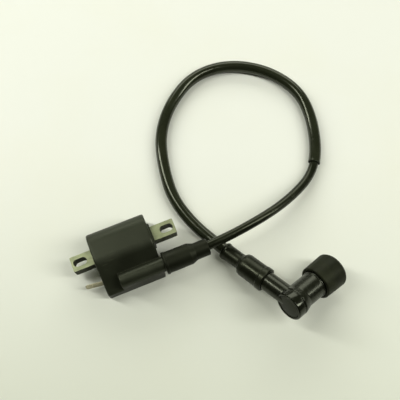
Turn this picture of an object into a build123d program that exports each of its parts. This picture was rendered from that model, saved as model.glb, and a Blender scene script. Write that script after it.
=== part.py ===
from build123d import *
import math
import os

# Ignition coil for a small engine, with its high-tension lead and spark plug cap.
# Millimetres. +X runs along the laminated core, +Z is up, and the coil stands on Z = 0.
# The origin is the centre of the coil's base, halfway between the two mounting slots.

# ---------------------------------------------------------------- driving dimensions
core_length = 80.0          # tab end to tab end
core_width = 11.2
core_y = 6.5                # the core's centre line, off the middle of the base
core_bottom = 8.0
sheet_count = 12
sheet_thickness = 1.0
core_top = core_bottom + sheet_count * sheet_thickness
core_z = (core_bottom + core_top) / 2
slot_spacing = 67.0
slot_width = 5.6            # for an M5 screw
slot_length = 10.0

case_left = -23.6
case_right = 21.0
case_depth = 47.0           # along Y
case_wall = 2.0
block_width = 32.0          # the tall part, around the windings
block_top = 29.0
block_corner = 11.0
shelf_end = -11.5           # the plain sloping end stops here, where the tower starts
shelf_edge_height = 11.8
slope_angle = 35.0          # the case falls away from the block towards the tower's side
pocket_height = 9.5
collar_reach = 1.4

tower_y = -17.8             # axis of the high-tension tower, and of the lead's exit
tower_z = 19.8
tower_radius = 5.6
nipple_radius = 5.5
nipple_end = 39.0

winding_left = -18.5
winding_right = 16.5
primary_flange = (9.15, 9.55)     # half sizes along Y and Z
primary_tube = (6.75, 7.15)
secondary_flange = (12.4, 12.4)
secondary_tube = (10.2, 10.4)
bobbin_wall = 1.0

blade_width = 6.3
blade_thickness = 0.8
blade_length = 13.5
blade_y = -11.6
blade_z = 6.6
blade_roll = -12.0          # the blade has been bent a little in use
blade_yaw = -7.0

lead_radius = 3.5           # 7 mm high-tension lead
conductor_radius = 1.2
sleeve_radius = 4.6
sleeve_bore = 4.0

elbow_centre = Vector(97.5, -77.5, 24.7)
lead_side_angle = 117.6     # plan angle from the elbow towards the lead
lead_side_drop = 16.3       # and how far it falls below level
plug_side_angle = 16.9
plug_side_drop = 17.3
outlet_offset = 0.7         # the outlet's axis crosses the neck's this far past the elbow's centre

cap_neck_radius = 7.2
cap_neck_end = 45.0
cap_outlet_radius = 10.0
knuckle_radius = 11.0       # the drum at the elbow's corner
knuckle_back = -7.3
knuckle_offset = 1.5        # its axis crosses the neck's this far past the elbow's centre
end_plug_radius = 9.2
plug_bore_radius = 5.3      # the seal's grip on a plug's insulator
seal_start = 22.0
seal_end = 42.8

# ---------------------------------------------------------------- directions and helpers


def direction(plan_angle, drop):
    plan = math.radians(plan_angle)
    fall = math.radians(drop)
    return Vector(math.cos(plan) * math.cos(fall), math.sin(plan) * math.cos(fall), -math.sin(fall))


lead_side = direction(lead_side_angle, lead_side_drop)
plug_side = direction(plug_side_angle, plug_side_drop)
lead_axis = Location(Plane(origin=elbow_centre, z_dir=lead_side))
plug_axis = Location(Plane(origin=elbow_centre - lead_side * outlet_offset, z_dir=plug_side))
knuckle_axis = Location(Plane(origin=elbow_centre - lead_side * knuckle_offset, z_dir=plug_side))
tower_axis = Location(Plane(origin=(0, tower_y, tower_z), x_dir=(0, 1, 0), z_dir=(1, 0, 0)))


def turned(profile, place):
    """A solid of revolution: profile holds (distance along the axis, radius) pairs."""
    outline = [(radius, 0, along) for along, radius in profile]
    face = make_face(Polyline(*outline, close=True))
    return place * revolve(face, Axis.Z, 360)


def rod(start, end, radius, place):
    return place * extrude(Plane.XY.offset(start) * Circle(radius), end - start)


def slab(x0, x1, y0, y1, z0, z1):
    box = Box(x1 - x0, y1 - y0, z1 - z0)
    return Pos((x0 + x1) / 2, (y0 + y1) / 2, (z0 + z1) / 2) * box


def rounded_bar(half, corner, x0, x1, middle=core_y):
    """A bar along X at the core's height, with half sizes (Y, Z) and rounded long edges."""
    section = RectangleRounded(2 * half[0], 2 * half[1], corner)
    return extrude(Plane(origin=(x0, middle, core_z), x_dir=(0, 1, 0), z_dir=(1, 0, 0)) * section, x1 - x0)


def write(shape, node):
    export_step(shape, f"parts/{node}.step")
    print(f"{node:22s} {shape.volume:10.1f} mm3")


os.makedirs("parts", exist_ok=True)

# ---------------------------------------------------------------- laminated core


def lamination(index):
    bottom = core_bottom + index * sheet_thickness
    half = core_length / 2
    sheet = slab(-half, half, core_y - core_width / 2, core_y + core_width / 2, bottom, bottom + sheet_thickness)
    sheet = chamfer(sheet.edges().filter_by(Axis.Z), 0.8)
    for side in (-1, 1):
        slot = extrude(SlotOverall(slot_length, slot_width), 2 * sheet_thickness)
        sheet -= Pos(side * slot_spacing / 2, core_y, bottom - sheet_thickness / 2) * slot
    return sheet


sheets = [lamination(i) for i in range(sheet_count)]
stake_x = 25.6              # the punched mark that locks the sheets together
for side in (-1, 1):
    mark = slab(-0.6, 0.6, -2.6, 2.6, -0.5, 0.5)
    sheets[-1] -= Pos(side * stake_x, core_y, core_top) * mark
core_laminations = Compound(children=sheets)

# ---------------------------------------------------------------- windings on their bobbins


def bobbin(tube, flange, flange_xs, corner):
    """A tube with square flanges; the first and last flange are its ends."""
    body = rounded_bar(tube, corner / 2, flange_xs[0], flange_xs[-1] + bobbin_wall)
    for x in flange_xs:
        body += rounded_bar(flange, corner, x, x + bobbin_wall)
    bore = (tube[0] - bobbin_wall, tube[1] - bobbin_wall)
    return body - rounded_bar(bore, 0.3, flange_xs[0] - 1, flange_xs[-1] + 2)


def winding(inner, outer, corner, x0, x1):
    return rounded_bar(outer, corner, x0, x1) - rounded_bar(inner, corner / 2, x0 - 1, x1 + 1)


last_flange = winding_right - bobbin_wall
primary_bobbin = bobbin(primary_tube, primary_flange, [winding_left, last_flange], 2.0)
primary_winding = winding(primary_tube, (8.75, 9.15), 2.0, winding_left + bobbin_wall, last_flange)
winding_insulation = winding((8.75, 9.15), primary_flange, 2.0, winding_left + bobbin_wall, last_flange)

section_count = 4
section_pitch = (last_flange - winding_left) / section_count
secondary_xs = [winding_left + i * section_pitch for i in range(section_count + 1)]
secondary_bobbin = rounded_bar(secondary_tube, 3.0, winding_left, winding_right)
for x in secondary_xs:
    secondary_bobbin += rounded_bar(secondary_flange, 9.0, x, x + bobbin_wall)
secondary_bobbin -= rounded_bar(primary_flange, 2.0, winding_left - 1, winding_right + 1)
secondary_sections = []
for x in secondary_xs[:-1]:
    ring = rounded_bar((11.8, 11.8), 7.0, x + bobbin_wall, x + section_pitch)
    secondary_sections.append(ring - rounded_bar(secondary_tube, 3.0, x, x + section_pitch + 1))
secondary_winding = Compound(children=secondary_sections)

# ---------------------------------------------------------------- primary terminal


def blade_outline():
    tip = -blade_length
    half = blade_width / 2
    points = [(4.6, -2.0), (4.6, 2.0), (1.0, 2.0), (1.0, half), (tip + 1.6, half)]
    points += [(tip, half - 1.2), (tip, 1.2 - half), (tip + 1.6, -half), (1.0, -half), (1.0, -2.0)]
    return make_face(Polyline(*points, close=True))


blade = extrude(Plane.XZ * blade_outline(), blade_thickness / 2, both=True)
latch_hole = extrude(Plane.XZ * Pos(-blade_length + 4.4, 0) * SlotOverall(2.6, 1.7), blade_thickness, both=True)
blade_place = Pos(case_left, blade_y, blade_z) * Rot(0, 0, blade_yaw) * Rot(blade_roll, 0, 0)
primary_terminal = blade_place * (blade - latch_hole)

# ---------------------------------------------------------------- case


def case_section(with_tower):
    """Half-round block over the windings, then a plain slope, with or without the tower on it."""
    north = case_depth / 2
    south = -case_depth / 2
    block_south = north - block_width
    block = Pos((north + block_south) / 2, block_top - block_width / 2) * RectangleRounded(
        block_width, block_width, block_corner)
    section = block + Pos((north + block_south) / 2, block_top / 4) * Rectangle(block_width, block_top / 2)
    arc_y = block_south + block_corner
    arc_z = block_top - block_corner
    slope = math.radians(slope_angle)
    crest = (arc_y - block_corner * math.sin(slope), arc_z + block_corner * math.cos(slope))
    wedge = Polyline((south, 0), (south, shelf_edge_height), crest, (arc_y, arc_z), (arc_y, 0), close=True)
    section += make_face(wedge)
    if with_tower:
        section += Pos(tower_y, tower_z) * Circle(tower_radius)
        section += Pos((south + tower_y) / 2, tower_z / 2) * Rectangle(tower_y - south, tower_z)
    keep = Pos(0, block_top) * Rectangle(3 * case_depth, 2 * block_top)
    return section & keep


def prism(section, x0, x1):
    return extrude(Plane(origin=(x0, 0, 0), x_dir=(0, 1, 0), z_dir=(1, 0, 0)) * section, x1 - x0)


def case_cavity(floor):
    """Room for the windings and for the wiring beside them, open at the base."""
    inside = block_width / 2 - case_wall
    middle = (case_depth - block_width) / 2
    left = case_left + case_wall
    right = case_right - case_wall
    half = (inside, block_top - case_wall - core_z)
    room = rounded_bar(half, block_corner - case_wall, left, right, middle)
    room += slab(left, right, middle - inside, middle + inside, floor, core_z)
    south = case_wall - case_depth / 2
    room += slab(left, right, south, core_y, floor, pocket_height)
    room += slab(0.5, 8.0, tower_y - 2.5, tower_y + 2.5, pocket_height - 1, tower_z + 2.5)
    below = slab(2 * left, 2 * right, -case_depth, case_depth, floor - 20, floor)
    return room - below


case_shell = prism(case_section(False), case_left, shelf_end) + prism(case_section(True), shelf_end, case_right)
case_shell = case_shell.clean()
upright = [e for e in case_shell.edges().filter_by(Axis.Z) if abs(e.center().Y) > case_depth / 2 - 0.1]
case_shell = fillet(upright, 1.2)
collar_half = core_width / 2 + 2.2
case_shell += slab(case_right - 1, case_right + collar_reach, core_y - collar_half, core_y + collar_half, 4.5, 22.5)
case_shell += rod(case_right - 1, nipple_end, nipple_radius, tower_axis)
case_shell -= case_cavity(0)
core_window = slab(-core_length, core_length, core_y - core_width / 2, core_y + core_width / 2, core_bottom, core_top)
case_shell -= core_window
lead_stop = 22.0            # the lead is pushed in as far as this
case_shell -= rod(lead_stop, nipple_end + 1, lead_radius + 0.1, tower_axis)
case_shell -= rod(7.5, lead_stop + 0.1, 3.0, tower_axis)
case_shell -= primary_terminal

# ---------------------------------------------------------------- wiring inside the case

contact_profile = [(8.0, 0), (8.0, 3.0), (lead_stop, 3.0), (lead_stop, 1.15), (28.5, 1.15), (30.0, 0)]
tower_contact = turned(contact_profile, tower_axis)


def wire(points, bend, radius):
    path = FilletPolyline(*points, radius=bend)
    start = Plane(origin=path @ 0, z_dir=path % 0)
    return sweep(start * Circle(radius), path=path)


terminal_end = blade_place * Pos(5.1, 0, 0)
wire_start = terminal_end.position
gap_x = winding_left - 1.0  # the space between the end wall and the bobbins
primary_wire = wire([wire_start, (gap_x + 0.2, -6.0, 6.0), (gap_x, -0.8, 4.4)], 1.0, 0.45)
strap_y = core_y - core_width / 2
ground_strap = slab(winding_left - 2.4, winding_left - 0.1, strap_y - 0.4, strap_y, 10.0, 14.0)
ground_strap += slab(winding_left - 0.5, winding_left - 0.1, strap_y - 3.4, strap_y, 10.0, 14.0)
link_points = [(4.0, -6.1, 6.5), (4.0, tower_y, 6.5), (4.0, tower_y, tower_z), (8.0, tower_y, tower_z)]
ht_link_wire = wire(link_points, 1.8, 0.4)

potting_fill = case_cavity(0.5) - core_window
potting_fill -= rounded_bar(secondary_flange, 9.0, winding_left, winding_right)
for piece in (primary_terminal, primary_wire, ground_strap, ht_link_wire, tower_contact):
    potting_fill -= piece

# ---------------------------------------------------------------- boot on the tower

coil_boot = turned([
    (22.5, nipple_radius + 0.05), (22.5, 8.0), (23.0, 8.4), (24.2, 8.4), (24.8, 8.0), (42.4, 8.0), (43.8, 7.7),
    (46.4, 6.5), (47.4, 6.3), (56.2, 6.3), (57.0, 5.6), (57.0, 4.0), (39.6, 4.0),
    (39.6, nipple_radius + 0.05)], tower_axis)

# ---------------------------------------------------------------- high-tension lead

entry = elbow_centre + lead_side * 68.0     # where the lead lines up with the cap
lead_route = [
    Vector(lead_stop, tower_y, tower_z),
    Vector(62, tower_y, tower_z),
    Vector(102, -13.2, tower_z),
    Vector(129.4, -5.2, 11.8),
    Vector(154.4, 7.3, sleeve_radius),
    Vector(167.2, 24.6, sleeve_radius),
    Vector(176.3, 55, sleeve_radius),
    Vector(174.8, 80.5, sleeve_radius),
    Vector(157.6, 105.5, sleeve_radius),
    Vector(131, 121, sleeve_radius),
    Vector(101, 122.3, sleeve_radius),
    Vector(74.5, 105.8, sleeve_radius),
    Vector(57, 83, sleeve_radius),
    Vector(50, 56, sleeve_radius),
    Vector(47.6, 31, sleeve_radius),
    Vector(54, 6, sleeve_radius),
    entry,
    elbow_centre + lead_side * 40.0,
]
sleeve_first = 5            # the sleeve starts halfway along the run before this point


def corner_radii(points):
    """0.45 of the shorter run over the tangent of half the turn, at each inner point."""
    radii = []
    for before, here, after in zip(points, points[1:], points[2:]):
        turn = math.radians((here - before).get_angle(after - here))
        shorter = min((here - before).length, (after - here).length)
        radii.append(0.45 * shorter / math.tan(turn / 2))
    return radii


def tube(points, radii, outer, inner):
    path = FilletPolyline(*points, radius=radii)
    start = Plane(origin=path @ 0, z_dir=path % 0)
    section = Circle(outer)
    area = math.pi * outer ** 2
    if inner:
        section -= Circle(inner)
        area -= math.pi * inner ** 2
    solid = sweep(start * section, path=path)
    print(f"length {path.length:.1f} mm, volume over section times length {solid.volume / area / path.length:.4f}")
    return solid


radii = corner_radii(lead_route)
print("corner radii, mm:", [round(r) for r in radii])
print("runs, mm:", [round((b - a).length, 1) for a, b in zip(lead_route, lead_route[1:])])
ht_lead = tube(lead_route, radii, lead_radius, conductor_radius + 0.05)

conductor_start = Vector(30.2, tower_y, tower_z)
conductor_end = elbow_centre + lead_side * 50.2
ht_conductor = tube([conductor_start] + lead_route[1:-1] + [conductor_end], radii, conductor_radius, 0)

sleeve_mouth = (lead_route[sleeve_first - 1] + lead_route[sleeve_first]) * 0.5
sleeve_end = elbow_centre + lead_side * 54.0
sleeve_route = [sleeve_mouth] + lead_route[sleeve_first:-1] + [sleeve_end]
lead_sleeve = tube(sleeve_route, radii[sleeve_first - 1:], sleeve_radius, sleeve_bore)

# ---------------------------------------------------------------- spark plug cap, lead side

cap_wire_boot = turned([
    (64.8, 5.2), (64.8, 6.2), (64.3, 6.5), (62.8, 6.5), (62.2, 6.1), (49.0, 6.0), (47.6, 6.9), (46.4, 8.1),
    (44.6, 8.8), (29.2, 8.8), (28.4, 9.2), (25.2, 9.2), (24.4, 8.6), (24.4, cap_neck_radius + 0.05),
    (cap_neck_end + 0.05, cap_neck_radius + 0.05), (cap_neck_end + 0.05, 5.2)], lead_axis)
cap_wire_screw = turned([
    (10.0, 0), (10.0, 3.0), (12.5, 3.0), (12.5, 1.9), (38.0, 1.9), (39.5, 1.15), (48.5, 1.15), (50.0, 0)], lead_axis)

# ---------------------------------------------------------------- spark plug cap, body

seat_floor = knuckle_back + 2.0
pocket_floor = -2.4
pocket_radius = 6.4
cap_body = rod(-2.0, cap_neck_end, cap_neck_radius, lead_axis)
cap_body += turned([
    (0, 0), (0, cap_outlet_radius), (29.2, cap_outlet_radius), (30.0, 9.2), (30.0, 0)], plug_axis)
cap_body += turned([
    (knuckle_back, 0), (knuckle_back, knuckle_radius - 0.7), (knuckle_back + 0.7, knuckle_radius),
    (-1.1, knuckle_radius), (-0.5, knuckle_radius - 0.7), (-0.2, knuckle_radius - 0.7), (0.3, knuckle_radius + 0.2),
    (9.0, 8.5), (9.0, 0)], knuckle_axis)
cap_body -= rod(39.5, cap_neck_end + 1, lead_radius + 0.15, lead_axis)
cap_body -= rod(12.5, 39.6, 2.0, lead_axis)
cap_body -= rod(-1.0, 12.6, 3.1, lead_axis)
cap_body -= rod(knuckle_back - 1, seat_floor, end_plug_radius + 0.05, knuckle_axis)
cap_body -= rod(seat_floor - 0.1, pocket_floor, pocket_radius, knuckle_axis)
cap_body -= rod(pocket_floor - 0.1, 20.0, 3.6, plug_axis)
cap_body -= rod(19.9, 31.0, 6.2, plug_axis)

cap_end_plug = turned([
    (pocket_floor - 0.2, 0), (pocket_floor - 0.2, pocket_radius - 0.1), (seat_floor, pocket_radius - 0.1),
    (seat_floor, end_plug_radius), (knuckle_back + 0.6, end_plug_radius), (knuckle_back + 0.2, end_plug_radius - 0.4),
    (knuckle_back - 0.3, 6.0), (knuckle_back - 0.5, 0)], knuckle_axis)

# ---------------------------------------------------------------- spark plug cap, electrical parts

cap_elbow_contact = turned([(-2.4, 0), (-2.4, 3.4), (-1.4, 3.4), (-1.4, 1.4), (2.2, 1.4), (2.2, 0)], plug_axis)
cap_elbow_contact -= rod(1.0, 20.0, 3.1, lead_axis)
bridge = rod(1.0, 9.9, 1.5, lead_axis)
cap_elbow_contact += bridge

spring_radius = 2.6
spring_wire = 0.35
spring_pitch = 1.25
spring_turns = 4
coil_path = Helix(pitch=spring_pitch, height=spring_pitch * spring_turns, radius=spring_radius)
coil_start = Plane(origin=coil_path @ 0, z_dir=coil_path % 0)
coil_solid = sweep(coil_start * Circle(spring_wire), path=coil_path, is_frenet=True)
cap_spring = plug_axis * Pos(0, 0, 2.75) * coil_solid
cap_resistor = turned([
    (8.4, 0), (8.4, 2.9), (8.7, 3.2), (18.6, 3.2), (18.9, 2.9), (18.9, 0)], plug_axis)

plug_clip = turned([
    (18.95, 0), (18.95, 3.4), (20.1, 3.4), (20.1, 5.9), (21.2, 5.9), (21.2, 4.2), (28.4, 4.2), (28.4, 3.3),
    (21.6, 3.3), (21.6, 0)], plug_axis)
clip_slit = plug_axis * Pos(0, 0, 26.0) * Box(0.8, 12, 7.0)
plug_clip -= clip_slit
clip_ring = turned([(24.2, 4.25), (24.2, 4.85), (24.8, 4.85), (24.8, 4.25)], plug_axis)
clip_ring -= plug_axis * Pos(4.5, 0, 24.5) * Box(3.0, 2.0, 2.0)

# ---------------------------------------------------------------- plug seal

plug_seal = turned([
    (seal_start, 10.8), (seal_start, 12.0), (seal_start + 0.8, 12.7), (seal_end - 2.2, 13.4), (seal_end - 0.6, 12.6),
    (seal_end, 11.4), (seal_end, 7.2), (seal_end - 1.8, plug_bore_radius), (31.8, plug_bore_radius),
    (30.1, 6.6), (30.1, cap_outlet_radius + 0.05), (seal_start + 3.0, cap_outlet_radius + 0.05),
    (seal_start + 3.0, 10.8)], plug_axis)

# ---------------------------------------------------------------- files

nodes = {
    "case_shell": case_shell,
    "potting_fill": potting_fill,
    "core_laminations": core_laminations,
    "primary_bobbin": primary_bobbin,
    "primary_winding": primary_winding,
    "winding_insulation": winding_insulation,
    "secondary_bobbin": secondary_bobbin,
    "secondary_winding": secondary_winding,
    "primary_terminal": primary_terminal,
    "primary_wire": primary_wire,
    "ground_strap": ground_strap,
    "ht_link_wire": ht_link_wire,
    "tower_contact": tower_contact,
    "coil_boot": coil_boot,
    "ht_lead": ht_lead,
    "ht_conductor": ht_conductor,
    "lead_sleeve": lead_sleeve,
    "cap_wire_boot": cap_wire_boot,
    "cap_body": cap_body,
    "cap_end_plug": cap_end_plug,
    "cap_wire_screw": cap_wire_screw,
    "cap_elbow_contact": cap_elbow_contact,
    "cap_spring": cap_spring,
    "cap_resistor": cap_resistor,
    "plug_clip": plug_clip,
    "clip_ring": clip_ring,
    "plug_seal": plug_seal,
}
for node, shape in nodes.items():
    write(shape, node)
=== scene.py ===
import math

import bmesh
import bpy
from mathutils import Matrix, Vector, noise


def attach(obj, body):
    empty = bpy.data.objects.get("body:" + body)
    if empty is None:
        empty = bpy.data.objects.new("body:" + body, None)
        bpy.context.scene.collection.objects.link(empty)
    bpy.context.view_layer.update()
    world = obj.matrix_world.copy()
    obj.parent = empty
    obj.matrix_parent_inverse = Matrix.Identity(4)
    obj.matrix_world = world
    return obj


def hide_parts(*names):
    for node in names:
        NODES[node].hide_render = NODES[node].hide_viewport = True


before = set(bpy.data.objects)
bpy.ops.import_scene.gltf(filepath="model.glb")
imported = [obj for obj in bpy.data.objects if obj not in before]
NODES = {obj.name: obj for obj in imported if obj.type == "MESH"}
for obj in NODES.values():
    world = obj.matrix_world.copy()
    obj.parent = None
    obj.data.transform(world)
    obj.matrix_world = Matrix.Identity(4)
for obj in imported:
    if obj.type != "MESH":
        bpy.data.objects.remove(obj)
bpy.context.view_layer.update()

MM = 0.001

# ------------------------------------------------------------ places shared with the frame


def direction(plan_angle, drop):
    plan = math.radians(plan_angle)
    fall = math.radians(drop)
    return Vector((math.cos(plan) * math.cos(fall), math.sin(plan) * math.cos(fall), -math.sin(fall)))


def axis_place(origin, axis):
    """A matrix in millimetres whose Z runs along axis from origin."""
    turn = axis.to_track_quat("Z", "Y").to_matrix().to_4x4()
    return Matrix.Translation(origin) @ turn @ Matrix.Scale(MM, 4)


elbow = Vector((0.0975, -0.0775, 0.0247))
lead_side = direction(117.6, 16.3)
plug_side = direction(16.9, 17.3)
lead_axis = axis_place(elbow, lead_side)
plug_axis = axis_place(elbow - lead_side * 0.0007, plug_side)
knuckle_axis = axis_place(elbow - lead_side * 0.0015, plug_side)
tower_axis = axis_place(Vector((0, -0.0178, 0.0198)), Vector((1, 0, 0)))

# ------------------------------------------------------------ meshes


def new_object(name, data, material):
    piece = bpy.data.objects.new(name, data)
    bpy.context.scene.collection.objects.link(piece)
    if material is not None:
        data.materials.append(material)
    return piece


def from_bmesh(name, bm, material, smooth=True):
    bmesh.ops.recalc_face_normals(bm, faces=bm.faces)
    mesh = bpy.data.meshes.new(name)
    bm.to_mesh(mesh)
    bm.free()
    for face in mesh.polygons:
        face.use_smooth = smooth
    return new_object(name, mesh, material)


def rounded(points, radius, closed=True, steps=5):
    """The outline with each corner turned into a small arc; a point may carry its own radius."""
    result = []
    count = len(points)
    for i, point in enumerate(points):
        here = Vector(point[:2])
        limit = point[2] if len(point) > 2 else radius
        if not closed and i in (0, count - 1):
            result.append(here)
            continue
        before = Vector(points[i - 1][:2]) - here
        after = Vector(points[(i + 1) % count][:2]) - here
        angle = before.angle(after)
        if limit <= 0 or angle > math.radians(176):
            result.append(here)
            continue
        reach = min(limit / math.tan(angle / 2), 0.45 * before.length, 0.45 * after.length)
        start = here + before.normalized() * reach
        end = here + after.normalized() * reach
        for k in range(steps + 1):
            t = k / steps
            result.append((1 - t) ** 2 * start + 2 * t * (1 - t) * here + t ** 2 * end)
    return result


def lathe(name, profile, place, material, segments=128, shape=None):
    """A solid of revolution about place's Z. The profile holds (along, radius) in millimetres, from the axis
    back to the axis, or all round when it never meets it. shape(along, radius, angle) may vary the radius."""
    bm = bmesh.new()
    rings = []
    for along, radius in profile:
        if radius < 1e-6:
            rings.append([bm.verts.new(place @ Vector((0, 0, along)))])
            continue
        ring = []
        for i in range(segments):
            angle = 2 * math.pi * i / segments
            r = shape(along, radius, angle) if shape else radius
            ring.append(bm.verts.new(place @ Vector((r * math.cos(angle), r * math.sin(angle), along))))
        rings.append(ring)
    pairs = list(zip(rings, rings[1:]))
    if len(rings[0]) > 1 and len(rings[-1]) > 1:
        pairs.append((rings[-1], rings[0]))
    for a, b in pairs:
        for i in range(segments):
            j = (i + 1) % segments
            if len(a) == 1 and len(b) == 1:
                continue
            if len(a) == 1:
                bm.faces.new((a[0], b[j], b[i]))
            elif len(b) == 1:
                bm.faces.new((a[i], a[j], b[0]))
            else:
                bm.faces.new((a[i], a[j], b[j], b[i]))
    return from_bmesh(name, bm, material)


def apply_modifiers(piece):
    """Replaces the piece's mesh with the one its modifiers give."""
    graph = bpy.context.evaluated_depsgraph_get()
    mesh = bpy.data.meshes.new_from_object(piece.evaluated_get(graph))
    piece.modifiers.clear()
    piece.data = mesh
    for face in mesh.polygons:
        face.use_smooth = True


def fused(name, parts, voxel, smoothing, material):
    """One smooth skin over several overlapping closed pieces, with soft corners where they meet."""
    bm = bmesh.new()
    for part in parts:
        bm.from_mesh(part.data)
        bpy.data.objects.remove(part)
    piece = from_bmesh(name, bm, material)
    remesh = piece.modifiers.new("skin", "REMESH")
    remesh.mode = "VOXEL"
    remesh.voxel_size = voxel
    remesh.use_smooth_shade = True
    relax = piece.modifiers.new("relax", "SMOOTH")
    relax.iterations = smoothing
    relax.factor = 0.5
    apply_modifiers(piece)
    return piece


# ------------------------------------------------------------ materials


class Surface:
    """A Principled material whose colour, roughness and relief build up from procedural layers."""

    def __init__(self, name, color, roughness, **sockets):
        self.material = bpy.data.materials.new(name)
        self.material.use_nodes = True
        self.tree = self.material.node_tree
        self.shader = self.tree.nodes["Principled BSDF"]
        self.shader.inputs["Base Color"].default_value = (*color, 1)
        self.shader.inputs["Roughness"].default_value = roughness
        for key, value in sockets.items():
            self.shader.inputs[key.replace("_", " ")].default_value = value
        self.base = color
        self.color = None
        self.normal = None
        self.coords = self.node("ShaderNodeTexCoord").outputs["Object"]

    def node(self, kind, **values):
        node = self.tree.nodes.new(kind)
        for key, value in values.items():
            setattr(node, key, value)
        return node

    def link(self, output, socket):
        self.tree.links.new(output, socket)

    def stretched(self, scale, turn=(0, 0, 0)):
        node = self.node("ShaderNodeMapping")
        node.inputs["Scale"].default_value = scale
        node.inputs["Rotation"].default_value = turn
        self.link(self.coords, node.inputs["Vector"])
        return node.outputs["Vector"]

    def noise(self, scale, detail=3.0, coords=None, distortion=0.0):
        node = self.node("ShaderNodeTexNoise")
        node.inputs["Scale"].default_value = scale
        node.inputs["Detail"].default_value = detail
        node.inputs["Distortion"].default_value = distortion
        self.link(coords or self.coords, node.inputs["Vector"])
        return node.outputs["Fac"]

    def between(self, value, low, high, to_low=0.0, to_high=1.0):
        node = self.node("ShaderNodeMapRange")
        for key, number in (("From Min", low), ("From Max", high), ("To Min", to_low), ("To Max", to_high)):
            node.inputs[key].default_value = number
        self.link(value, node.inputs["Value"])
        return node.outputs["Result"]

    def times(self, a, b):
        node = self.node("ShaderNodeMath", operation="MULTIPLY")
        self.link(a, node.inputs[0])
        self.link(b, node.inputs[1])
        return node.outputs[0]

    def tint(self, mask, color):
        """Paints color over the surface where mask is 1."""
        node = self.node("ShaderNodeMix", data_type="RGBA")
        self.link(mask, node.inputs[0])
        if self.color is None:
            node.inputs[6].default_value = (*self.base, 1)
        else:
            self.link(self.color, node.inputs[6])
        node.inputs[7].default_value = (*color, 1)
        self.color = node.outputs[2]
        self.link(self.color, self.shader.inputs["Base Color"])

    def roughness(self, value):
        self.link(value, self.shader.inputs["Roughness"])

    def relief(self, height, depth, strength=1.0):
        node = self.node("ShaderNodeBump")
        node.inputs["Distance"].default_value = depth
        node.inputs["Strength"].default_value = strength
        self.link(height, node.inputs["Height"])
        if self.normal is not None:
            self.link(self.normal, node.inputs["Normal"])
        self.normal = node.outputs["Normal"]
        self.link(self.normal, self.shader.inputs["Normal"])

    def facing_up(self):
        geometry = self.node("ShaderNodeNewGeometry")
        axes = self.node("ShaderNodeSeparateXYZ")
        self.link(geometry.outputs["Normal"], axes.inputs[0])
        return axes.outputs["Z"]

    def edge_mask(self, radius):
        """1 on sharp edges and 0 on flats, from how far a rounded normal leaves the true one."""
        bevel = self.node("ShaderNodeBevel", samples=6)
        bevel.inputs["Radius"].default_value = radius
        geometry = self.node("ShaderNodeNewGeometry")
        dot = self.node("ShaderNodeVectorMath", operation="DOT_PRODUCT")
        self.link(bevel.outputs["Normal"], dot.inputs[0])
        self.link(geometry.outputs["Normal"], dot.inputs[1])
        return self.between(dot.outputs["Value"], 0.995, 0.90)


def moulded_plastic(name, color, roughness, side_specular=0.40):
    """Satin moulded plastic; faces that stand upright may be duller than those that face up."""
    s = Surface(name, color, roughness, Specular_Tint=(0.93, 1.0, 0.75, 1))
    grain = s.noise(2600, 2)
    cloud = s.noise(55, 4)
    scuffs = s.between(s.noise(140, 6, s.stretched((1, 6, 1), (0, 0, 0.5))), 0.60, 0.74)
    s.tint(s.between(cloud, 0.35, 0.75, 0.0, 0.45), tuple(1.8 * c for c in color))
    s.tint(s.between(s.times(scuffs, s.between(cloud, 0.45, 0.65)), 0, 1, 0, 0.22), (0.10, 0.11, 0.07))
    # sharp edges are painted lighter: a painted highlight along the moulded edges
    s.tint(s.between(s.edge_mask(0.0006), 0, 1, 0, 0.20), (0.08, 0.09, 0.05))
    s.roughness(s.between(cloud, 0.3, 0.7, roughness - 0.05, roughness + 0.08))
    s.link(s.between(s.facing_up(), 0.1, 0.6, side_specular, 0.40), s.shader.inputs["Specular IOR Level"])
    s.relief(cloud, 0.00006, 0.35)
    s.relief(grain, 0.00003, 0.35)
    return s.material


def rubber(name, color, roughness, bloom, specular=0.35, grain_depth=0.00003):
    """Black rubber with a fine moulded skin and a faint dusty bloom."""
    s = Surface(name, color, roughness, Specular_IOR_Level=specular, Specular_Tint=(0.93, 1.0, 0.72, 1))
    grain = s.noise(1800, 4)
    cloud = s.noise(90, 5, distortion=0.6)
    specks = s.between(s.noise(900, 2), 0.72, 0.80)
    s.tint(s.between(cloud, 0.35, 0.7, 0.0, bloom), (0.055, 0.062, 0.030))
    s.tint(s.times(specks, s.between(cloud, 0.3, 0.8, 0.05, 0.3)), (0.10, 0.11, 0.07))
    s.roughness(s.between(cloud, 0.3, 0.7, roughness - 0.06, roughness + 0.10))
    s.relief(cloud, 0.0001, 0.3)
    s.relief(grain, grain_depth, 0.4)
    return s.material


def glossy(name, color, roughness, ripple, scratches=0.0):
    """Polished black resin or vinyl: clear reflections, slightly rippled, with a few hairlines and dust."""
    s = Surface(name, color, roughness, Specular_IOR_Level=0.42, Specular_Tint=(0.95, 1.0, 0.80, 1))
    cloud = s.noise(70, 3)
    fine = s.noise(420, 3)
    dust = s.between(s.noise(1500, 2), 0.70, 0.78)
    s.tint(s.between(cloud, 0.4, 0.8, 0.0, 0.4), tuple(2.2 * c for c in color))
    s.tint(s.times(dust, s.between(cloud, 0.35, 0.75, 0.03, 0.2)), (0.10, 0.11, 0.07))
    s.roughness(s.between(fine, 0.35, 0.70, roughness - 0.03, roughness + 0.07))
    s.relief(cloud, 0.0002, ripple)
    if scratches:
        hair = s.between(s.noise(240, 2, s.stretched((1, 14, 3), (0.3, 0.2, 0.9))), 0.66, 0.70)
        s.relief(hair, 0.00002, scratches)
    return s.material


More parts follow.
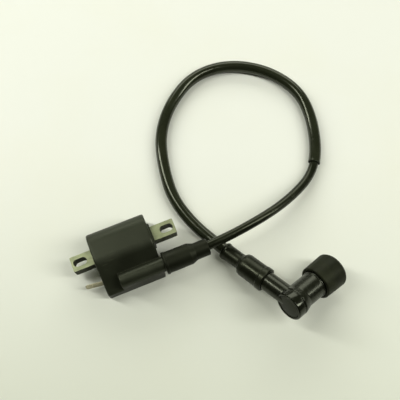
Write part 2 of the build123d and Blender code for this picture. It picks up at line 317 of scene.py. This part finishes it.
def plated_steel(name, color, roughness):
    """Zinc plated sheet steel: dull, a little streaky, with stained spots, a painted highlight on its sharp
    edges, and its upright faces painted near black.
    """
    s = Surface(name, color, roughness, Metallic=0.85)
    cloud = s.noise(160, 5, distortion=0.4)
    brush = s.noise(700, 3, s.stretched((0.15, 1, 1)))
    spots = s.between(s.noise(420, 4), 0.62, 0.72)
    s.tint(s.between(cloud, 0.35, 0.72, 0, 0.55), tuple(0.55 * c for c in color))
    s.tint(s.between(spots, 0, 1, 0, 0.35), (0.16, 0.15, 0.10))
    # sharp edges are painted lighter: a painted highlight along the sheets' edges
    s.tint(s.between(s.edge_mask(0.0003), 0, 1, 0, 0.35), tuple(min(1, 1.2 * c) for c in color))
    # upright faces, the sheets' punched edges, are painted near black, with no metal and little shine
    upright = s.between(s.facing_up(), 0.3, 0.75, 0.95, 0.0)
    s.tint(upright, (0.022, 0.024, 0.012))
    s.link(s.between(s.facing_up(), 0.3, 0.75, 0.0, 0.85), s.shader.inputs["Metallic"])
    s.link(s.between(s.facing_up(), 0.3, 0.75, 0.08, 0.5), s.shader.inputs["Specular IOR Level"])
    s.roughness(s.between(brush, 0.3, 0.7, roughness - 0.06, roughness + 0.14))
    s.relief(brush, 0.00002, 0.3)
    s.relief(cloud, 0.00005, 0.3)
    return s.material


def metal(name, color, roughness):
    s = Surface(name, color, roughness, Metallic=1.0)
    cloud = s.noise(300, 4)
    s.tint(s.between(cloud, 0.4, 0.75, 0, 0.6), tuple(0.45 * c for c in color))
    s.roughness(s.between(cloud, 0.3, 0.7, roughness - 0.05, roughness + 0.15))
    s.relief(s.noise(1200, 3), 0.00002, 0.3)
    return s.material


def plain_moulding(name, color, roughness):
    s = Surface(name, color, roughness)
    cloud = s.noise(200, 4)
    s.tint(s.between(cloud, 0.3, 0.8, 0, 0.4), tuple(0.7 * c for c in color))
    s.roughness(s.between(cloud, 0.3, 0.7, roughness - 0.05, roughness + 0.1))
    s.relief(s.noise(1500, 2), 0.00002, 0.3)
    return s.material


def winding_wire(name, color):
    """Turns of enamelled wire, wound round X."""
    s = Surface(name, color, 0.32, Metallic=0.9)
    wave = s.node("ShaderNodeTexWave", bands_direction="X", wave_profile="SIN")
    wave.inputs["Scale"].default_value = 640
    wave.inputs["Distortion"].default_value = 0.6
    s.link(s.coords, wave.inputs["Vector"])
    # darker where the wave is low, between the turns: painted shade in the grooves
    s.tint(s.between(wave.outputs["Fac"], 0, 1, 0.5, 0), tuple(0.25 * c for c in color))
    s.relief(wave.outputs["Fac"], 0.0001, 0.8)
    return s.material


case_black = moulded_plastic("case_satin_black", (0.0115, 0.0130, 0.0080), 0.42, 0.10)
boot_black = rubber("boot_rubber_black", (0.0040, 0.0045, 0.0026), 0.44, 0.05, 0.20)
wire_boot_black = rubber("wire_boot_rubber_black", (0.0042, 0.0047, 0.0028), 0.27, 0.05, 0.28)
seal_black = rubber("seal_rubber_black", (0.0058, 0.0065, 0.0036), 0.50, 0.26, 0.17, 0.00008)
jacket_black = rubber("lead_jacket_black", (0.0060, 0.0070, 0.0038), 0.20, 0.05, 0.34)
sleeve_black = glossy("sleeve_vinyl_black", (0.0115, 0.0135, 0.0070), 0.15, 0.45)
cap_black = glossy("cap_resin_black", (0.0036, 0.0041, 0.0025), 0.23, 0.12, 0.3)
knuckle_black = glossy("cap_knuckle_black", (0.0030, 0.0034, 0.0020), 0.13, 0.10, 0.2)
plug_black = moulded_plastic("cap_plug_black", (0.0055, 0.0062, 0.0038), 0.34, 0.10)
core_zinc = plated_steel("core_zinc_plate", (0.33, 0.36, 0.22), 0.46)
blade_brass = metal("blade_brass", (0.50, 0.46, 0.33), 0.40)
inner_brass = metal("inner_brass", (0.62, 0.50, 0.30), 0.30)
spring_steel = metal("spring_steel", (0.60, 0.60, 0.60), 0.25)
copper_wire = metal("copper_wire", (0.70, 0.32, 0.18), 0.30)
wound_copper = winding_wire("wound_copper", (0.55, 0.22, 0.10))
bobbin_white = plain_moulding("bobbin_moulding", (0.70, 0.67, 0.58), 0.5)
film_amber = plain_moulding("insulation_film", (0.62, 0.45, 0.18), 0.25)
potting_black = glossy("potting_resin", (0.02, 0.02, 0.02), 0.28, 0.6)
ceramic = plain_moulding("resistor_ceramic", (0.50, 0.45, 0.38), 0.6)

# ------------------------------------------------------------ CAD nodes that stay

KEPT = {
    "case_shell": case_black,
    "potting_fill": potting_black,
    "primary_bobbin": bobbin_white,
    "primary_winding": wound_copper,
    "winding_insulation": film_amber,
    "secondary_bobbin": bobbin_white,
    "secondary_winding": wound_copper,
    "primary_terminal": blade_brass,
    "primary_wire": copper_wire,
    "ground_strap": copper_wire,
    "ht_link_wire": copper_wire,
    "tower_contact": inner_brass,
    "ht_conductor": copper_wire,
    "cap_wire_screw": inner_brass,
    "cap_elbow_contact": inner_brass,
    "cap_spring": spring_steel,
    "cap_resistor": ceramic,
    "plug_clip": inner_brass,
    "clip_ring": spring_steel,
}


def dress(node, material):
    mesh = NODES[node].data
    if not mesh.materials:
        mesh.materials.append(material)
    for slot in NODES[node].material_slots:
        slot.link = "OBJECT"
        slot.material = material


for node, material in KEPT.items():
    dress(node, material)

# the case's moulded edges are soft
case = NODES["case_shell"]
case.modifiers.new("join", "WELD").merge_threshold = 0.00001
skin = case.modifiers.new("skin", "REMESH")
skin.mode = "VOXEL"
skin.voxel_size = 0.0004
skin.use_smooth_shade = True
soft = case.modifiers.new("soft_edges", "SMOOTH")
soft.iterations = 7
soft.factor = 0.5

# ------------------------------------------------------------ core: separate sheets, in millimetres

core_half_length = 40.0
core_half_width = 5.6
core_corner = 0.9
core_y = 6.5
core_bottom = 8.0
sheet_count = 12
sheet_thickness = 1.0
pressed_edge = 0.07         # how far the press rounds a sheet's edges
sheet_shift = 0.06          # how far a sheet may lie out of line with its neighbours
slot_x = 33.5
slot_half_length = 5.0
slot_radius = 2.8


def sheet_outline(half_length, half_width, corner):
    points = [
        (-half_length, -half_width), (half_length, -half_width),
        (half_length, half_width), (-half_length, half_width)]
    return [tuple(p) for p in rounded(points, corner)]


def slot_outline(centre, half_length, radius, steps=12):
    straight = half_length - radius
    points = []
    for side in (1, -1):
        for k in range(steps + 1):
            angle = math.radians(-90 + 180 * k / steps)
            x = centre + side * (straight + radius * math.cos(angle))
            points.append((x, side * radius * math.sin(angle)))
    return points


def core_sheet(bm, index, bottom, thickness):
    """One plate with its two slots, its edges slightly rounded by the press."""
    jitter = noise.noise(Vector((index * 3.7, 1.3, 0.2)))
    shift = sheet_shift * jitter
    loops = [sheet_outline(core_half_length, core_half_width, core_corner)]
    loops += [slot_outline(side * slot_x, slot_half_length, slot_radius) for side in (-1, 1)]
    inset = pressed_edge
    levels = [(0.0, inset), (inset, 0.0), (thickness - inset, 0.0), (thickness, inset)]
    rings = []
    for which, loop in enumerate(loops):
        centre_x = (0, -slot_x, slot_x)[which]
        stack = []
        for height, pull in levels:
            ring = []
            for x, y in loop:
                sign = 1 if which == 0 else -1
                away = Vector((x - centre_x, y)).normalized()
                px = x - sign * pull * away.x + shift
                py = y - sign * pull * away.y + 0.5 * shift
                ring.append(bm.verts.new(Vector((px, py + core_y, bottom + height)) * MM))
            stack.append(ring)
        for low, high in zip(stack, stack[1:]):
            for i in range(len(low)):
                j = (i + 1) % len(low)
                bm.faces.new((low[i], low[j], high[j], high[i]))
        rings.append((stack[0], stack[-1]))
    for end in (0, 1):
        edges = []
        for ring in rings:
            for a, b in zip(ring[end], ring[end][1:] + ring[end][:1]):
                edges.append(bm.edges.get((a, b)))
        bmesh.ops.triangle_fill(bm, use_beauty=True, use_dissolve=False, edges=edges)


bm = bmesh.new()
for index in range(sheet_count):
    core_sheet(bm, index, core_bottom + index * sheet_thickness, sheet_thickness)
core = from_bmesh("core_stack", bm, core_zinc, smooth=False)
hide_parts("core_laminations")
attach(core, "root")

# ------------------------------------------------------------ boots, cap and seal


def seam(depth, width_deg=3.0, dent=0.0):
    """Two fine mould lines along a turned piece, and a slow out-of-round."""
    def shape(along, radius, angle):
        ridge = 0.0
        for at in (0.6, 0.6 + math.pi):
            off = math.degrees(abs((angle - at + math.pi) % (2 * math.pi) - math.pi))
            ridge += depth * math.exp(-(off / width_deg) ** 2)
        lump = noise.noise(Vector((math.cos(angle) * 1.1, math.sin(angle) * 1.1, along * 0.07)))
        return radius + ridge + dent * lump
    return shape


coil_boot = lathe("tower_boot", rounded([
    (22.5, 5.55, 0.1), (22.5, 7.9, 0.4), (23.0, 8.4, 0.4), (24.4, 8.4, 0.4), (24.9, 8.0, 0.3),
    (42.4, 8.0, 2.0), (46.6, 6.35, 2.0), (56.4, 6.3, 0.5), (57.0, 5.7, 0.4), (57.0, 4.1, 0.3),
    (55.0, 3.65, 0.2), (39.7, 3.65, 0.1), (39.7, 5.55, 0.1)],
    0.3), tower_axis, boot_black, shape=seam(0.07, dent=0.12))
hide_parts("coil_boot")

wire_boot = lathe("cap_lead_boot", rounded([
    (64.8, 4.75, 0.2), (64.8, 6.1, 0.4), (64.2, 6.5, 0.4), (62.8, 6.5, 0.4), (62.2, 6.1, 0.4),
    (49.2, 6.0, 1.0), (47.6, 6.9, 0.8), (46.4, 8.2, 0.8), (44.4, 8.85, 1.0), (29.4, 8.8, 0.5),
    (28.6, 9.25, 0.4), (25.0, 9.25, 0.4), (24.4, 8.6, 0.3), (24.4, 7.3, 0.2), (45.1, 7.3, 0.1),
    (45.1, 5.25, 0.1), (60.0, 5.0, 0.3)], 0.3),
    lead_axis, wire_boot_black, shape=seam(0.05, dent=0.10))
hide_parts("cap_wire_boot")

neck = lathe("neck", rounded([
    (-2.0, 0, 0), (-2.0, 7.2, 0.5), (45.0, 7.2, 0.3), (45.0, 3.7, 0.2), (40.0, 3.7, 0.2), (40.0, 0, 0)],
    0.3, closed=False), lead_axis, None)
outlet = lathe("outlet", rounded([
    (0, 0, 0), (0, 10.0, 0.3), (20.6, 10.0, 0.2), (20.9, 10.4, 0.2), (22.4, 10.4, 0.3), (22.7, 10.0, 0.2),
    (30.0, 10.0, 0.9), (30.0, 6.3, 0.3), (20.0, 6.2, 0.2), (20.0, 0, 0)],
    0.3, closed=False), plug_axis, None)
flare = lathe("flare", rounded([
    (-1.5, 0, 0), (-1.5, 10.3, 0.2), (-0.1, 10.3, 0.2), (0.3, 11.1, 0.4), (4.0, 10.2, 3.0),
    (9.0, 8.5, 0.5), (9.0, 0, 0)],
    0.3, closed=False), knuckle_axis, None)
cap = fused("cap_elbow", [neck, outlet, flare], 0.00030, 5, cap_black)
drum = lathe("cap_knuckle", rounded([
    (-5.3, 0, 0), (-5.3, 9.25, 0.1), (-7.0, 9.25, 0.1), (-7.3, 9.6, 0.3), (-7.3, 10.3, 0.5),
    (-6.6, 11.0, 0.6), (-1.2, 11.0, 0.6), (-0.5, 10.2, 0.4), (-0.7, 9.0, 0.2), (-0.7, 0, 0)],
    0.2, closed=False), knuckle_axis, knuckle_black)

face = [(-7.9 + 0.9 * (k / 8) ** 2, 8.2 * k / 8, 0) for k in range(9)]
end_plug = lathe("cap_back_plug", rounded([
    (-5.4, 0, 0), (-5.4, 9.0, 0.1), (-6.9, 9.0, 0.4), (-7.2, 8.5, 0.3)] + face[::-1],
    0.2, closed=False), knuckle_axis, plug_black)
for piece in (cap, drum):
    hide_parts("cap_body")
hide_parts("cap_end_plug")

seal = lathe("plug_boot_seal", rounded([
    (22.0, 10.8, 0.3), (22.0, 12.2, 0.5), (22.6, 12.8, 0.6), (40.6, 13.4, 2.0), (42.8, 11.6, 1.2),
    (42.8, 7.2, 0.6), (41.0, 5.3, 0.5), (31.8, 5.3, 0.4), (30.2, 6.6, 0.3), (30.2, 10.05, 0.1),
    (25.0, 10.05, 0.2), (25.0, 10.8, 0.2)],
    0.3), plug_axis, seal_black, shape=seam(0.06, dent=0.12))
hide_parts("plug_seal")

for piece in (coil_boot, wire_boot, cap, drum, end_plug, seal):
    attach(piece, "root")

# ------------------------------------------------------------ high-tension lead

lead_radius = 0.0035
sleeve_radius = 0.0046      # also the height at which the lead lies on the table
route = [
    Vector((0.022, -0.0178, 0.0198)),
    Vector((0.062, -0.0178, 0.0198)),
    Vector((0.102, -0.0132, 0.0198)),
    Vector((0.1294, -0.0052, 0.0118)),
    Vector((0.1544, 0.0073, sleeve_radius)),
    Vector((0.1672, 0.0246, sleeve_radius)),
    Vector((0.1763, 0.055, sleeve_radius)),
    Vector((0.1748, 0.0805, sleeve_radius)),
    Vector((0.1576, 0.1055, sleeve_radius)),
    Vector((0.131, 0.121, sleeve_radius)),
    Vector((0.101, 0.1223, sleeve_radius)),
    Vector((0.0745, 0.1058, sleeve_radius)),
    Vector((0.057, 0.083, sleeve_radius)),
    Vector((0.050, 0.056, sleeve_radius)),
    Vector((0.0476, 0.031, sleeve_radius)),
    Vector((0.054, 0.006, sleeve_radius)),
    elbow + lead_side * 0.068,
    elbow + lead_side * 0.040,
]

lead_line = bpy.data.curves.new("ht_lead_line", "CURVE")
lead_line.dimensions = "3D"
lead_line.resolution_u = 24
spline = lead_line.splines.new("NURBS")
spline.points.add(len(route) - 1)
for point, at in zip(spline.points, route):
    point.co = (*at, 1)
spline.order_u = 3
spline.use_endpoint_u = True
lead = new_object("high_tension_lead", lead_line, jacket_black)
graph = bpy.context.evaluated_depsgraph_get()
line_mesh = bpy.data.meshes.new_from_object(lead.evaluated_get(graph))
centreline = [v.co.copy() for v in line_mesh.vertices]
bpy.data.meshes.remove(line_mesh)
lead_line.bevel_depth = lead_radius
lead_line.bevel_resolution = 10
lead_line.use_fill_caps = True
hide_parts("ht_lead")
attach(lead, "root")


class Line:
    """The lead's centre line by arc length, with a frame that doesn't twist."""

    def __init__(self, points):
        self.points = points
        self.at = [0.0]
        for a, b in zip(points, points[1:]):
            self.at.append(self.at[-1] + (b - a).length)
        self.length = self.at[-1]
        self.sides = []
        side = Vector((0, 0, 1))
        for i in range(len(points)):
            along = (points[min(i + 1, len(points) - 1)] - points[max(i - 1, 0)]).normalized()
            side = (side - along * side.dot(along)).normalized()
            self.sides.append((along, side))

    def frame(self, s):
        s = min(max(s, 0.0), self.length)
        i = 0
        low, high = 0, len(self.at) - 1
        while high - low > 1:
            i = (low + high) // 2
            if self.at[i] <= s:
                low = i
            else:
                high = i
        t = (s - self.at[low]) / max(self.at[high] - self.at[low], 1e-9)
        along = self.sides[low][0].lerp(self.sides[high][0], t).normalized()
        side = self.sides[low][1].lerp(self.sides[high][1], t)
        side = (side - along * side.dot(along)).normalized()
        return self.points[low].lerp(self.points[high], t), along, side

    def nearest(self, target):
        best = min(range(len(self.points)), key=lambda i: (self.points[i] - target).length)
        return self.at[best]


line = Line(centreline)


def along_lead(name, rings, material, segments=64, shape=None):
    """A tube round the lead: rings holds (arc length, radius) in metres, out and back round the wall."""
    bm = bmesh.new()
    made = []
    for s, radius in rings:
        centre, forward, side = line.frame(s)
        other = forward.cross(side)
        ring = []
        for i in range(segments):
            angle = 2 * math.pi * i / segments
            r = shape(s, radius, angle) if shape else radius
            ring.append(bm.verts.new(centre + side * (r * math.cos(angle)) + other * (r * math.sin(angle))))
        made.append(ring)
    for a, b in zip(made, made[1:] + made[:1]):
        for i in range(segments):
            j = (i + 1) % segments
            bm.faces.new((a[i], a[j], b[j], b[i]))
    return from_bmesh(name, bm, material)


mouth = line.nearest((route[4] + route[5]) / 2)
sleeve_end = line.nearest(elbow + lead_side * 0.054)


def sleeve_shape(s, radius, angle):
    """Soft vinyl: a slow waviness, and a mouth that stands slightly open on the side away from the table."""
    wave = noise.noise(Vector((math.cos(angle) * 0.8, math.sin(angle) * 0.8, s * 60)))
    opened = max(radius - sleeve_radius, 0) * (0.5 + 0.5 * math.cos(angle))
    return min(radius, sleeve_radius) + opened + 0.00008 * wave


lip = ((0, 1.05), (0.25, 1.08), (1.0, 1.05), (2.5, 1.0))     # millimetres in from the mouth, and how far open
outer = [(mouth + step * MM, sleeve_radius * flare) for step, flare in lip]
count = 220
for k in range(1, count + 1):
    outer.append((mouth + 0.0025 + (sleeve_end - mouth - 0.0025) * k / count, sleeve_radius))
inner = [(s, 0.0040) for s, _ in outer[:3:-1]]
inner += [(mouth + 0.002, 0.0042), (mouth, 0.0045)]
sleeve = along_lead("vinyl_sleeve", outer + inner, sleeve_black, shape=sleeve_shape)
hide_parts("lead_sleeve")
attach(sleeve, "root")

on_the_lead = [coil_boot, sleeve, wire_boot, cap, drum, end_plug, seal]
on_the_lead += [NODES[n] for n in (
    "ht_conductor", "cap_wire_screw", "cap_elbow_contact", "cap_spring",
    "cap_resistor", "plug_clip", "clip_ring")]

# ------------------------------------------------------------ floor, light and camera

floor_look = Surface("pale_table", (0.825, 0.84, 0.79), 0.55)
stain = floor_look.noise(9, 5)
floor_look.tint(floor_look.between(stain, 0.45, 0.75, 0, 0.35), (0.80, 0.80, 0.68))
# the table is painted darker towards the picture's bottom: painted shade where less light reaches it
painted_shade_south = floor_look.node("ShaderNodeVectorMath", operation="DOT_PRODUCT")
painted_shade_south.inputs[1].default_value = (-0.377, -0.926, 0)
floor_look.link(floor_look.coords, painted_shade_south.inputs[0])
floor_look.tint(floor_look.between(painted_shade_south.outputs["Value"], -0.04, 0.28), (0.65, 0.68, 0.57))
floor_look.relief(floor_look.noise(400, 4), 0.00005, 0.2)
bpy.ops.mesh.primitive_grid_add(x_subdivisions=2, y_subdivisions=2, size=6, location=(0.07, 0.02, -0.00005))
floor = bpy.context.object
floor.name = "table_top"
floor.data.materials.append(floor_look.material)

look_at = Vector((0.067, 0.023, 0))
north = Vector((0.377, 0.926, 0))       # towards the picture's top, along the table
east = Vector((0.926, -0.377, 0))
overhead = Vector((0, 0, 1))

# a dim room, a little lighter towards the picture's top
world = bpy.data.worlds.new("studio")
bpy.context.scene.world = world
world.use_nodes = True
room = world.node_tree
background = room.nodes["Background"]
background.inputs["Color"].default_value = (0.94, 1.0, 0.66, 1)
heading = room.nodes.new("ShaderNodeTexCoord")
northing = room.nodes.new("ShaderNodeVectorMath")
northing.operation = "DOT_PRODUCT"
northing.inputs[1].default_value = north
level = room.nodes.new("ShaderNodeMapRange")
for key, number in (("From Min", -0.7), ("From Max", 0.8), ("To Min", 0.05), ("To Max", 0.25)):
    level.inputs[key].default_value = number
room.links.new(heading.outputs["Generated"], northing.inputs[0])
room.links.new(northing.outputs["Value"], level.inputs["Value"])
room.links.new(level.outputs["Result"], background.inputs["Strength"])


def panel(name, start, end, width, power):
    """A rectangular light from start to end, given as metres (east, north, up) from the object's middle."""
    a, b = (look_at + east * p[0] + north * p[1] + overhead * p[2] for p in (start, end))
    data = bpy.data.lights.new(name, "AREA")
    data.shape = "RECTANGLE"
    data.size = (b - a).length
    data.size_y = width
    data.energy = power
    data.color = (1.0, 1.0, 0.93)
    lamp = bpy.data.objects.new(name, data)
    bpy.context.scene.collection.objects.link(lamp)
    middle = (a + b) / 2
    along = (b - a).normalized()
    away = middle - look_at
    away = (away - along * away.dot(along)).normalized()
    facing = Matrix((along, away.cross(along), away)).transposed().to_4x4()
    lamp.matrix_world = Matrix.Translation(middle) @ facing
    return lamp


panel("west_strip", (-0.97, 0.32, 0.42), (-0.31, 0.06, 1.06), 0.14, 5.3)
panel("east_strip", (0.97, -0.10, 0.52), (0.27, -0.05, 1.05), 0.14, 5.3)
panel("north_window", (-0.7, 0.98, 0.52), (0.7, 0.98, 0.52), 0.50, 6.5)

camera_data = bpy.data.cameras.new("camera")
camera_data.sensor_width = 36
camera_data.lens = 58.5
camera = bpy.data.objects.new("camera", camera_data)
bpy.context.scene.collection.objects.link(camera)
right = Vector((0.92618, -0.37707, 0.0))
up = Vector((0.36059, 0.88571, 0.29237))
back = Vector((-0.11024, -0.27079, 0.95630))
turn = Matrix((right, up, back)).transposed().to_4x4()
camera.matrix_world = Matrix.Translation((0.0113, -0.1142, 0.484)) @ turn
bpy.context.scene.camera = camera
bpy.context.scene.view_settings.view_transform = "Standard"
